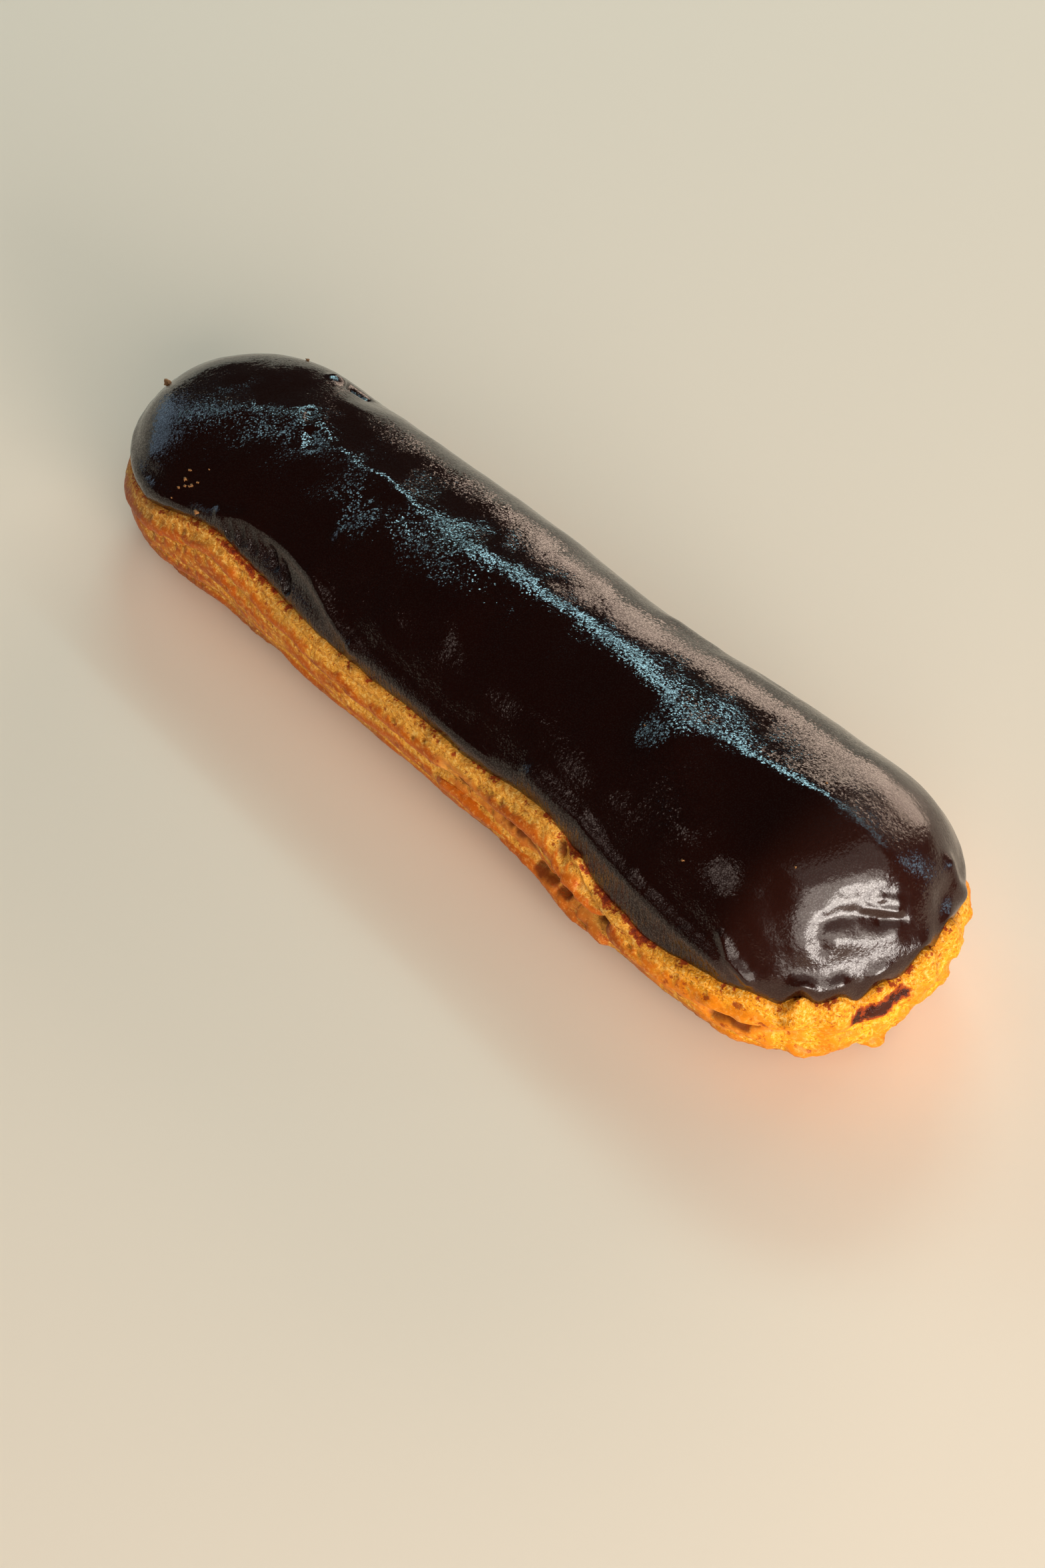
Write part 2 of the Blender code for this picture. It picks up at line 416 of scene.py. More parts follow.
# %% Edge of the icing
# Each lobe or notch: place in plan, how far it rises (+) or dips (-), and its spread, in mm
EDGE_LOBES = {
    "lobe by the drip": ((66.2, -15.0), 2.4, 1.3),
    "lobe of the corner": ((69.2, -11.0), 1.4, 1.4),
    "lobe at the end": ((71.8, -6.6), 1.8, 1.4),
    "tall lobe": ((72.8, 0.2), 2.6, 1.4),
    "far lobe": ((72.0, 5.2), 2.9, 1.3),
    "drip": ((64.6, -16.4), -1.8, 1.0),
    "notch": ((70.6, -9.0), -1.4, 0.9),
    "far notch": ((72.9, 2.6), -1.3, 0.9),
    "tooth of crust": ((32.6, -19.4), 1.5, 0.9),
    "second tooth of crust": ((41.6, -20.2), 1.9, 1.1),
    "bite after the tooth": ((35.6, -19.8), -0.9, 1.2),
    "crust in the pinch": ((-39.5, -18.0), 0.7, 1.6),
}
EDGE_HEIGHT = 15.2
EDGE_REACH = 3.2
EDGE_UNEVEN = 0.35
EDGE_UNEVEN_SIZE = 2.6


def edge_shift(places):
    """How far up each place near the icing's edge moves."""
    plan = places * (1, 1, 0)
    shift = EDGE_UNEVEN * clouds(plan, EDGE_UNEVEN_SIZE, seed=3.0)
    for (x, y), rise, spread in EDGE_LOBES.values():
        shift += rise * dab(plan, (x, y, 0), spread)
    return shift * np.exp(-((places[:, 2] - EDGE_HEIGHT) / EDGE_REACH) ** 2)


# %% [markdown]
# ## The icing
#
# The outer skin of the CAD icing is kept as an open sheet and its lower edge is turned in, so that
# it ends as a rounded lip against the pastry. After the forms are modelled, the CAD's inner skin
# closes it underneath.

# %% Outer and inner skin
icing = grid_copy("chocolate_icing", "icing_coat")
underside = grid_copy("chocolate_icing", "icing_underside")


def faces_out(piece):
    """How far each face looks outwards: 1 straight away from the spine, -1 towards it."""
    centres = read(piece.data.polygons, "center") / MM
    away = from_spine(centres)
    away /= np.linalg.norm(away, axis=1)[:, None]
    return (read(piece.data.polygons, "normal") * away).sum(1)


def delete_faces(piece, chosen):
    """Delete the chosen faces."""
    select_faces(piece, chosen)
    pick_only(piece)
    bpy.ops.object.mode_set(mode="EDIT")
    bpy.ops.mesh.delete(type="FACE")
    bpy.ops.object.mode_set(mode="OBJECT")


SKIN_FACING = 0.3
delete_faces(icing, faces_out(icing) < SKIN_FACING)
delete_faces(underside, faces_out(underside) > -SKIN_FACING)
print("outer skin:", len(icing.data.polygons), "faces, inner:", len(underside.data.polygons))


# %% Lip of the icing
LIP_TURN = (0.25, 0.5)
LIP_RETURN = (1.1, 0.25)


def turn_in_edge(piece, inward, down):
    """Extrude the open edge of the sheet towards the pastry. Gives the new edge's places."""
    edit_open_edges(piece)
    bpy.ops.mesh.extrude_region_move()
    bpy.ops.object.mode_set(mode="OBJECT")
    moved = np.zeros(len(piece.data.vertices), bool)
    piece.data.vertices.foreach_get("select", moved)
    places = points(piece)
    away = from_spine(places) * (1, 1, 0)
    away /= np.linalg.norm(away, axis=1)[:, None]
    places[moved] -= away[moved] * inward
    places[moved, 2] -= down
    set_points(piece, places)
    return places[moved]


edge_line = turn_in_edge(icing, *LIP_TURN)
turn_in_edge(icing, *LIP_RETURN)
subdivide(icing, 2)
print("icing after smoothing:", len(icing.data.polygons), "faces")

# %% [markdown]
# ## Dents, folds and ribs of the icing
#
# Real icing sets with folds where it flowed and dents where it sank. They could be carved by hand
# with a sculpting brush. Here each one is written as a named line with a height and a width, so
# that it can be found and changed. The mesh is first made finer where the forms are small.

# %% Finer mesh where the icing has small forms
centres = read(icing.data.polygons, "center") / MM
blunt_end = centres[:, 0] > 52
pinch = (centres[:, 0] > -50) & (centres[:, 0] < -12) & (centres[:, 1] < -11)
ridge_top = (np.abs(centres[:, 1] + 1) < 7) & (centres[:, 0] > -62) & (centres[:, 0] < 10)
near_lip = (centres[:, 1] < -13) & (centres[:, 0] > 18)
crater = (np.abs(centres[:, 0] + 46) < 8) & (centres[:, 1] > 8)
refine(icing, blunt_end | pinch | ridge_top | near_lip | crater, 1)
print("icing after refining:", len(icing.data.polygons), "faces")

# %% Forms of the icing
# Each form: line or place, how far it stands out (+) or in (-), and its spread, in mm
ICING_STROKES = {
    "crest": ([(-52, -4.4, 26.6), (-44, 2.2, 27.5), (-39, 0.2, 27.9), (-29, -0.6, 28.1), (-20, 0, 28.5),
               (-10, -1.4, 28.9), (4, -0.5, 29.2), (15, 0.8, 29.2), (24, -0.8, 29.5), (31, -1.6, 29.7),
               (42, -1.4, 29.8), (54, 0.6, 30.3), (60, 0.6, 30), (65, 0.8, 28)], 0.45, 2.3),
    "bend of the crest": ([(-66, -6, 20), (-60, -9, 22.8), (-52, -5, 26.6)], 0.3, 2.6),
    "thin line on the crest": ([(-34, 0.6, 28), (-29.3, -0.2, 28.1), (-25.7, 1.2, 28.2),
                                (-20.4, 0.3, 28.5), (-16, -1, 28.7)], 0.16, 0.7),
    "thin line at the end": ([(44, -1, 29.8), (54.1, 0.8, 30.3), (59.4, 0.8, 30.1), (64.4, 1, 28.4)],
                             0.14, 0.9),
    "broad back": ([(-19, -7.4, 27.6), (-10, -8.4, 27.5), (-1, -8.4, 27.6)], 0.6, 3.0),
    "swelling past the middle": ([(36, -6.4, 28.9), (40, -9.2, 28), (44.6, -12.2, 26.6)], 1.1, 2.8),
    "saddle before it": ([(24, -9, 27.2), (28, -7, 28)], -0.25, 3.0),
    "rim edge at the low end": ([(-57, -17.3, 16.4), (-51, -17.2, 18), (-44, -16.4, 19)], 0.3, 0.9),
    "rim edge at the pinch": ([(-42, -15.2, 20.4), (-37.7, -14, 22), (-33, -13.7, 22.2),
                               (-28.8, -13.7, 21.9), (-22.9, -14.5, 21.7), (-17.7, -16, 20),
                               (-11.7, -17.4, 18.2)], 0.6, 0.85),
    "wall of the pinch": ([(-39, -16, 18.8), (-33, -15, 20), (-27, -15.6, 19.2), (-21, -16.5, 18.4),
                           (-15, -17.4, 17)], -0.26, 1.0),
    "first rib": ([(-41, -15.6, 19.8), (-39.6, -16.6, 18)], 0.22, 0.35),
    "second rib": ([(-39, -15.2, 20.4), (-37.6, -16.4, 18.4)], 0.25, 0.35),
    "third rib": ([(-36.9, -14.9, 20.9), (-35.4, -16, 18.8)], 0.25, 0.35),
    "fourth rib": ([(-34.6, -14.7, 21), (-33.3, -15.8, 19)], 0.22, 0.35),
    "pocket": ([(-31.8, -14.9, 20.4), (-30.4, -15.6, 18.9)], -0.65, 0.36),
    "long pocket": ([(-29.2, -15.2, 19.8), (-27.6, -15.8, 18.6), (-26.6, -16.4, 17.6)], -0.8, 0.38),
    "line of grains": ([(-23.6, -14, 22.4), (-19.6, -14.8, 21.9), (-15.6, -15.4, 21.1)], 0.12, 0.3),
    "rim edge of the middle": ([(-12, -17.2, 18.4), (-5.6, -17.4, 18.3), (3.4, -17.8, 17.9),
                                (14, -17.6, 18.4)], 0.25, 0.7),
    "rim edge of the apron": ([(22, -16.6, 20.4), (31.1, -17.2, 20.2), (37, -18, 19.2),
                               (45.7, -18.7, 18.4), (51.6, -19.2, 17.7), (56, -18.8, 17.6)], 0.6, 1.0),
    "wall of the apron": ([(30, -18.6, 17), (38, -19.8, 15.8), (50, -20.2, 15)], -0.25, 1.3),
    "crease by the corner": ([(55.4, -17.4, 20.4), (57.7, -18.2, 18.6), (59.5, -18.3, 17.6),
                              (60.6, -18.1, 16.6)], 0.5, 0.5),
    "hollow by the corner": ([(57.6, -15.6, 21.6), (60.4, -16.6, 18.6)], -0.3, 1.3),
    "flat of the blunt end": ([(66, -8.4, 23.2), (67.8, -5, 22.8)], -0.6, 4.8),
    "ring": ([(59.8, -11.2, 26.2), (61, -12.7, 24.6), (62.8, -13.4, 22.4), (64.4, -13.4, 20.6)],
             0.1, 2.0),
    "flat below the dent": ([(66.4, -12.2, 19.4), (69.6, -9.2, 17.8)], -0.36, 1.8),
    "wall of the brow": ([(62.9, -9.4, 26), (64.4, -7, 26.4), (65.5, -4.4, 26.3), (67, -2.4, 25.2)],
                         -0.2, 1.5),
    "dent": ([(65.8, -11.2, 22), (64.7, -11.3, 23.4), (64.5, -10.2, 24.4), (65.4, -7.8, 24.9),
              (66.6, -5.5, 24.6), (68.2, -3.5, 23.5)], -0.34, 0.8),
    "fold below the dent": ([(66.7, -8.9, 22.4), (67.9, -7.2, 21.6), (68.8, -5.4, 21.4),
                             (70, -3.1, 21.2)], 0.24, 1.1),
    "left valley": ([(58.2, -12.2, 26.2), (59.8, -13.5, 24.4), (62.2, -14.4, 22.1),
                     (64.1, -14.7, 19.6)], -0.6, 2.2),
    "wrinkle": ([(66.8, -4.8, 24.9), (67.8, -3.2, 24.4), (68.9, -1.4, 23.9)], 0.22, 0.4),
    "second wrinkle": ([(67, -2.6, 25.6), (68.4, -0.8, 24.6)], 0.18, 0.4),
    "third wrinkle": ([(68.4, -3.8, 23.4), (69.8, -1, 22.8)], -0.18, 0.4),
    "side fold": ([(68, 9.4, 22.4), (69.6, 9, 20.4), (70.2, 9.8, 18.4)], 0.55, 0.9),
    "side hollow": ([(70.4, 5.4, 21.4), (71.8, 4, 19.4)], -0.5, 1.4),
    "crater": ([(-45.4, 14.4, 22.6), (-47, 13.6, 23.4)], -1.1, 0.8),
    "scab by the crater": ([(-49.6, 12.2, 24.4), (-48.4, 13, 24)], 0.6, 0.7),
    "notch in the crest": ([(-43.4, 2.6, 27.6), (-42, 1.6, 27.8)], -0.4, 0.6),
    "second notch": ([(-39.6, -0.2, 28), (-37.8, -1.6, 28)], -0.4, 0.7),
    "triangle": ([(-25.4, -3.6, 28), (-23.4, -5.4, 27.8), (-22.6, -3.8, 28.2)], 0.1, 0.4),
    "spot": ([(-22.9, -9.2, 26.4), (-22.3, -9.6, 26.2)], 0.25, 0.5),
    "apron dimple": ([(19, 13, 24.4), (24, 13.4, 24)], 0.3, 1.6),
    "far dimple": ([(33, 14.4, 23.4), (36, 14.6, 23)], -0.3, 1.0),
}


# %% Pressing the forms in
def snap(piece, forms):
    """The same forms, with every place of their lines moved to the nearest point of the piece."""
    places = points(piece)
    tree = tree_of(places)
    snapped = {}
    for name, (line_of, height, spread) in forms.items():
        snapped[name] = ([tuple(tree.find(place)[0]) for place in line_of], height, spread)
    return snapped


def model_forms(piece, forms):
    """Press each named form into a piece, along the directions that it faces."""
    places, facing = points(piece), outward(piece)
    amount = np.zeros(len(places))
    for line, height, spread in forms.values():
        amount += height * stroke(places, line, spread)
    set_points(piece, places + facing * amount[:, None])


model_forms(icing, snap(icing, ICING_STROKES))
print(len(ICING_STROKES), "forms pressed into the icing")

# %% [markdown]
# ## Waves of the poured icing
#
# Between its folds the icing still isn't flat: it was poured warm and set in gentle waves, with
# fine ripples along the brow of the blunt end. Three sizes of noise give them. The edge is moved
# to its uneven line in the same step.

# %% Gentle waves of the poured icing
BROAD_WAVE, BROAD_WAVE_SIZE = 0.24, 14
SHORT_WAVE, SHORT_WAVE_SIZE = 0.045, 4.5
RIPPLE, GRAINY_RIPPLE, RIPPLE_SIZE = 0.008, 0.045, 1.1
GRAINY_SPREAD = 1.7
GRAINY_LINE = [(61.4, -10.4, 26.4), (64, -7.4, 26.8), (65.8, -4.4, 26.3), (67.2, -2.2, 25.2)]
places, facing = points(icing), outward(icing)
waves = BROAD_WAVE * clouds(places, BROAD_WAVE_SIZE, seed=1.0)
waves = waves + SHORT_WAVE * clouds(places, SHORT_WAVE_SIZE, seed=2.0)
grainy = stroke(places, GRAINY_LINE, GRAINY_SPREAD)
ripples = (RIPPLE + GRAINY_RIPPLE * grainy) * clouds(places, RIPPLE_SIZE, seed=5.0)
places = places + facing * (waves + ripples)[:, None]
places[:, 2] += edge_shift(places)
set_points(icing, places)
print("waves up to", round(float(np.abs(waves).max()), 2), "mm high")

# %% [markdown]
# ## Closing the icing
#
# The icing is a skin about 2 mm thick, so its sheet needs an underside. A Solidify modifier would
# fold over itself at the lip. The CAD's own inner skin fits the pastry already, so it is joined on
# and its edge is bridged to the lip.

# %% Close the icing underneath
inner = points(underside)
inner[:, 2] += edge_shift(inner)
set_points(underside, inner)
pick_only(icing)
underside.select_set(True)
bpy.ops.object.join()
edit_open_edges(icing)
bpy.ops.mesh.bridge_edge_loops()
bpy.ops.mesh.select_all(action="SELECT")
bpy.ops.mesh.normals_make_consistent(inside=False)
bpy.ops.object.mode_set(mode="OBJECT")
bpy.ops.object.shade_smooth()
print("icing closed:", len(icing.data.polygons), "faces")

# %% [markdown]
# ## Where the icing sparkles, shines or is combed
#
# The icing isn't equally grainy everywhere. Its ridge sparkles, the blunt end is smoother with a
# satin shine and is coloured lighter as a painted glow of the warm lamps, and the wall above the
# edge has combed lines. A mask image would need a UV map, so these places are painted as values
# on the mesh's points, and the material reads them.

# %% Painted values of the icing
# Each sparkling line: its places, its strength and its spread in mm
SPARKLE_LINES = [
    ([(-56, -8, 24.6), (-48, -3, 26.8), (-40, 0, 27.8)], 0.8, 2.6),
    ([(-36, 0.6, 28), (-20, 0, 28.5), (10, -0.4, 29.2), (60, 0.6, 30)], 0.35, 1.6),
    ([(-26, -4, 27.9), (-22, -6.5, 27.4)], 0.9, 2.4),
    ([(-16, -3.6, 28.4), (-6, -5.4, 28.4), (5, -3.6, 29)], 1.0, 3.0),
    ([(33, -3, 29.2), (38, -8, 28.2), (43, -10.6, 27.2)], 0.8, 2.8),
    ([(-30, 9, 26), (10, 10, 26.6), (50, 10, 27)], 0.3, 3.0),
    ([(66, 1.6, 27.4), (67.7, 2.9, 25.5), (69, 3.4, 24)], 0.5, 1.6),
    ([(-66, -6, 20), (-60, -9, 22.8)], 0.3, 3.0),
]
# Combed lines along the rim, and the spread of each in mm
RIM_LINES = [[(-46, -16.4, 18), (-36, -15.6, 19.4), (-20, -17.2, 17.6), (3, -17.8, 17)],
             [(22, -17.4, 18.4), (38, -19.4, 16.6), (56, -19.4, 15.4)]]
RIM_SPREADS = (1.5, 2.2)
SATIN_FROM, SATIN_TO = 52, 60

places = points(icing)
sparkle_weight = np.zeros(len(places))
for line_of, strength, spread in SPARKLE_LINES:
    sparkle_weight = np.maximum(sparkle_weight, strength * stroke(places, line_of, spread))
rim_weight = np.zeros(len(places))
for line_of, spread in zip(RIM_LINES, RIM_SPREADS):
    rim_weight = np.maximum(rim_weight, stroke(places, line_of, spread))
# The satin end also carries a painted glow: its chocolate colour is made lighter there
paint(icing, "satin_and_painted_glow", smooth_step(SATIN_FROM, SATIN_TO, places[:, 0]))
paint(icing, "sparkle", sparkle_weight)
paint(icing, "rim", rim_weight)
print("points that sparkle:", int((sparkle_weight > 0.5).sum()))

# %% [markdown]
# ## Chocolate finish
#
# Set chocolate icing is nearly black. Its surface shines, but a fine grain breaks up the
# highlights into sparkles. The grain is bump at two small sizes, and soft patches of it come and
# go along the eclair.

# %% Chocolate
DARK_CHOCOLATE = (0.0075, 0.0014, 0.0008, 1)
BROWN_CHOCOLATE = (0.0105, 0.0022, 0.0012, 1)
PAINTED_GLOW_CHOCOLATE = (0.020, 0.0040, 0.0020, 1)
CHOCOLATE_IOR = 1.5

chocolate = Finish("chocolate")
patches = chocolate.ramp(chocolate.grain(7, 4.0, 0.6), 0.40, 0.62)
satin_and_painted_glow = chocolate.attribute("satin_and_painted_glow")
tint = chocolate.mix(chocolate.grain(20, 2.0), DARK_CHOCOLATE, BROWN_CHOCOLATE)
# Painted light: at the blunt end the chocolate is made lighter and redder, a painted glow of the warm
# lamps
tint = chocolate.mix(satin_and_painted_glow, tint, PAINTED_GLOW_CHOCOLATE)
chocolate.feed(chocolate.shader, "Base Color", tint)
satin_gloss = chocolate.maths("MULTIPLY", satin_and_painted_glow, 0.09)
gloss = chocolate.maths("ADD", chocolate.ramp(patches, 0, 1, 0.09, 0.13), satin_gloss)
chocolate.feed(chocolate.shader, "Roughness", gloss)
chocolate.feed(chocolate.shader, "IOR", CHOCOLATE_IOR)

# %% [markdown]
# ## Sparkling grain
#
# Seen close, the blue streak is many tiny glints: sugar and cocoa grains tilt the surface a little
# each way. Small cells with a random direction tilt the normal in the same way. Their strength
# follows the painted sparkle, and each cell shines most at its middle.

# %% Sparkling grain of the chocolate
FLAKE_SIZE = 0.23
MIDDLE_OF_COLOUR = (0.5, 0.5, 0.5)
EVEN_SHINE = 0.62
SATIN_EVENNESS = 0.55

flakes = chocolate.cells(FLAKE_SIZE)
tilt = chocolate.vectors("SUBTRACT", {0: flakes.outputs["Color"], 1: MIDDLE_OF_COLOUR})
reach = chocolate.maths("ADD", chocolate.ramp(patches, 0, 1, 0.03, 0.09),
                        chocolate.maths("MULTIPLY", chocolate.attribute("sparkle"), 0.32))
reach = chocolate.maths("MULTIPLY", reach, chocolate.ramp(satin_and_painted_glow, 0, 1, 1.0, 0.85))
tilt = chocolate.vectors("SCALE", {0: tilt, "Scale": reach})
shine = chocolate.ramp(flakes.outputs["Distance"], 0.15, 0.62, 0.72, 0.2)
evenness = chocolate.maths("MULTIPLY", satin_and_painted_glow, SATIN_EVENNESS)
smoother = chocolate.maths("MULTIPLY", chocolate.maths("SUBTRACT", EVEN_SHINE, shine), evenness)
chocolate.feed(chocolate.shader, "Specular IOR Level", chocolate.maths("ADD", shine, smoother))

# %% [markdown]
# ## Fine relief of the chocolate
#
# Three bumps lie over each other: a fine grain, a softer one, and lines combed down the wall where
# the rim was painted. The tilt of the grains is added last.

# %% Bump of the chocolate
fine = chocolate.bump(chocolate.grain(0.5, 2.0, 0.6), 0.03)
rough = chocolate.maths("MULTIPLY", patches, chocolate.ramp(satin_and_painted_glow, 0, 1, 1.0, 0.9))
chocolate.feed(fine.node, "Distance", chocolate.ramp(rough, 0, 1, 0.02 * MM, 0.06 * MM))
soft = chocolate.bump(chocolate.grain(1.3, 2.0, 0.5), 0.03, before=fine)
hairs = chocolate.grain(0.6, 3.0, 0.65, stretch=(1, 1, 0.16))
combed = chocolate.bump(hairs, 0.06, before=soft)
combing = chocolate.ramp(chocolate.attribute("rim"), 0, 1, 0.0, 0.42 * MM)
chocolate.feed(combed.node, "Distance", combing)
tilted = chocolate.vectors("ADD", {0: combed, 1: tilt})
chocolate.feed(chocolate.shader, "Normal", chocolate.vectors("NORMALIZE", {0: tilted}))
icing.data.materials.append(chocolate.material)
print("chocolate:", len(chocolate.tree.nodes), "nodes")

# %% [markdown]
# ## The choux bun
#
# The wall of the bun is what shows, so it gets the fine mesh, and the hidden top stays coarse.
# Ridges from the piping nozzle run lengthwise. The near side tore open along a low split while it
# baked, and shows pale crumb under an overhanging lip.

# %% Bun
ON_THE_FLOOR = 0.02
BASE_BORDER = 1.5 * MM
WALL_TOP = 18.5

bun = grid_copy("choux_bun", "choux_crust")
heights = read(bun.data.polygons, "center")[:, 2] / MM
delete_faces(bun, heights < ON_THE_FLOOR)
edit_open_edges(bun)
bpy.ops.mesh.edge_face_add()
bpy.ops.mesh.inset(thickness=BASE_BORDER)
bpy.ops.object.mode_set(mode="OBJECT")
subdivide(bun, 1)
centres = read(bun.data.polygons, "center") / MM
hidden = (read(bun.data.polygons, "normal")[:, 2] > 0.75) & (centres[:, 2] > 12)
refine(bun, (centres[:, 2] > 0.05) & (centres[:, 2] < WALL_TOP) & ~hidden, 2)
print("bun:", len(bun.data.polygons), "faces")

# %% [markdown]
# ## Splits and lobes of the pastry
#
# Steam tore the baking pastry open. A long low split on the near side shows ragged pits under a
# lip of crust, a short one lies by the corner, and flakes stand out round the blunt end. They are
# strokes like those of the icing. The insides of the pits lie in shadow, so they are left to the
# paint and get painted shade.

# %% Splits, lobes and lumps of the bun
# Each form: line or place, how far it stands out (+) or in (-), and its spread, in mm
BUN_STROKES = {
    "long split": ([(8, -19, 12.2), (15, -19, 11.5), (24, -19, 10.7), (28, -18.8, 8.7),
                    (38, -19.6, 7.8)], -0.8, 0.6),
    "lip over the split": ([(5, -19, 14.2), (22, -18.6, 13.4), (30, -19, 11.2), (40, -20, 10.8)],
                           0.4, 0.9),
    "hole at its end": ([(37.2, -19.6, 8.4), (38.8, -20, 9.3)], -1.8, 0.65),
    "small pocket": ([(10.6, -19, 12.1), (12.2, -19, 12.0)], -0.7, 0.45),
    "first pit": ([(15.2, -19, 11.7), (16.6, -19, 11.5)], -1.0, 0.5),
    "second pit": ([(18.7, -18.9, 11.3), (20.2, -18.9, 11)], -1.5, 0.55),
    "third pit": ([(21.4, -18.9, 10.8), (22.4, -18.9, 10.5)], -1.3, 0.5),
    "fourth pit": ([(23.6, -19, 10.5), (25, -19, 10.2)], -1.6, 0.6),
    "fifth pit": ([(25.9, -18.6, 8.2), (27, -18.6, 7.9)], -0.9, 0.45),
    "sixth pit": ([(28.3, -18.7, 8.1), (28.9, -18.7, 8)], -0.7, 0.42),
    "seventh pit": ([(30.4, -18.9, 7.7), (31.6, -18.9, 7.5)], -0.9, 0.45),
    "hole under the tooth": ([(29.2, -18.6, 15.6), (29.8, -18.8, 15.0)], -1.2, 0.5),
    "lower shell": ([(8, -18.6, 8.8), (22, -19, 8.0), (32, -19, 5.2), (38, -19.6, 5.0)], 1.1, 0.9),
    "short split": ([(57, -19.8, 8.5), (60, -19, 8.8), (65.6, -15.4, 10.2)], -1.0, 0.35),
    "mouth of the short split": ([(57.2, -19.8, 8.5), (58.4, -19.6, 8.6)], -1.7, 0.7),
    "second mouth": ([(60, -19, 8.8), (61.4, -18.4, 8.9)], -1.5, 0.6),
    "lip of the short split": ([(56, -20, 10.2), (62, -18.2, 10.6), (66, -15.4, 11.8)], 0.45, 0.7),
    "lobe by the drip": ([(66.4, -15.2, 12), (66.6, -15, 15)], 0.9, 1.1),
    "lobe of the corner": ([(69.2, -11.6, 8), (69.6, -11.2, 14)], 0.8, 1.3),
    "lobe at the end": ([(72.2, -6.8, 12), (72, -6.6, 15)], 0.7, 1.2),
    "tall lobe": ([(73, 0.2, 11), (72.8, 0.2, 16)], 0.7, 1.2),
    "far lobe": ([(72.4, 5, 8), (72.2, 5.2, 17)], 0.9, 1.2),
    "hollow of the smear": ([(72, -8.4, 11.8), (73.2, -4, 13.2)], -0.7, 1.1),
    "flake below": ([(72.2, -7.4, 5.8), (72.4, -6.2, 5.6)], 1.1, 0.7),
    "flake at the corner": ([(73.4, 1.6, 6.2), (73.2, 2.6, 6.6)], 0.9, 0.8),
    "flake in front": ([(68.4, -13.6, 5.4), (67.4, -14.6, 5.2)], 0.6, 0.8),
    "undercut of the far corner": ([(73.2, 2, 4), (72.4, 7, 4.4), (70, 12, 4.4)], -1.3, 2.6),
}

# %% Shape the splits and note where crumb shows
SHADED_INSIDE = ("pit", "pocket", "hole", "mouth")
POCKET_DROP = (0, 0, 0.45)
POCKET_MARGIN = 0.1

BUN_STROKES = snap(bun, BUN_STROKES)
POCKETS = [name for name in BUN_STROKES if any(word in name for word in SHADED_INSIDE)]
places = points(bun)
split_zone = stroke(places, BUN_STROKES["long split"][0], 0.9)
crumb_zone = 1.3 * stroke(places, BUN_STROKES["long split"][0], 1.0)
crumb_zone += stroke(places, BUN_STROKES["short split"][0], 0.7)
# Painted shade: the insides of the pits and holes lie in shadow, just below their lines
pit_shade_zone = np.zeros(len(places))
for name in POCKETS:
    line_of, depth, spread = BUN_STROKES[name]
    inside = np.array(line_of) - POCKET_DROP
    pit_shade_zone = np.maximum(pit_shade_zone, stroke(places, inside, spread + POCKET_MARGIN))
pit_shade_zone += 0.2 * clouds(places, 1.0, seed=13.0)
model_forms(bun, BUN_STROKES)
print(len(BUN_STROKES), "forms on the bun,", len(POCKETS), "of them dark inside")

# %% [markdown]
# ## Piped ridges
#
# A star nozzle leaves ridges that run along the pastry and follow the edge of the icing. Baking
# broke them up and swelled them, most at the blunt end. A wave of the depth below the icing's edge
# gives the ridges, and noise makes them sway, break and swell.

# %% Piped ridges of the wall
RIDGE_PITCH = 3.5
RIDGE_HEIGHT = 0.9
RIDGE_MIDDLE = 0.62
LIP_DROP = LIP_TURN[1]
SWAY_LENGTH = 62

edge_tree = tree_of(edge_line * (1, 1, 0))


def below_icing(places):
    """How far each place lies below the edge of the icing, in millimetres."""
    heights = np.array([edge_line[edge_tree.find((x, y, 0))[1], 2] for x, y, z in places])
    return heights + LIP_DROP - places[:, 2]


places, facing = points(bun), outward(bun)
depth_below = below_icing(places)
sway = 0.7 * np.sin(2 * math.pi * places[:, 0] / SWAY_LENGTH)
sway = sway + 0.8 * clouds(places * (1, 1, 0), 11, seed=4.0)
ridge = 0.5 + 0.5 * np.cos(2 * math.pi * (depth_below + sway) / RIDGE_PITCH)
broken = smooth_step(-0.5, 0.3, clouds(places * (0.5, 1, 1), 5.0, seed=6.0))
wall = smooth_step(0.3, 2.5, places[:, 2]) * smooth_step(0.6, 2.2, depth_below)
blunt = smooth_step(50, 66, places[:, 0])
lift = RIDGE_HEIGHT * (np.sqrt(ridge) - RIDGE_MIDDLE) * (0.45 + 0.55 * broken) * (1 - 0.5 * blunt)
bumps = (0.18 + 0.45 * blunt) * clouds(places * (0.45, 1, 1), 3.2, seed=7.0)
rough = (0.08 + 0.12 * blunt) * clouds(places, 1.2, seed=8.0, octaves=3)
places = places + facing * ((lift + bumps + rough) * wall)[:, None]
places[:, 2] += edge_shift(places)
set_points(bun, places)
print("ridges from", round(float(lift.min()), 2), "to", round(float(lift.max()), 2), "mm")

# %% [markdown]
# ## Pores
#
# Bubbles burst at the crust and left small round hollows, more of them in the torn crumb. The
# middles of some random cells are pressed in for that.

# %% Pores, where the crust is rough
PORE_SPACING = 1.5
PORE_DEPTH = 0.55
PORE_WIDTH = 0.28
CRUMB_HOLE_DEPTH = 0.7


def pores(places, spacing, share):
    """Small round hollows at random places: 1 in the middle of one, 0 between."""
    depth = np.zeros(len(places))
    for index, place in enumerate(places):
        distances, centres = noise.voronoi(Vector(place) / spacing)
        if noise.cell(centres[0] * 7.1) < share * 2 - 1:
            depth[index] = max(0.0, 1 - distances[0] / PORE_WIDTH)
    return depth


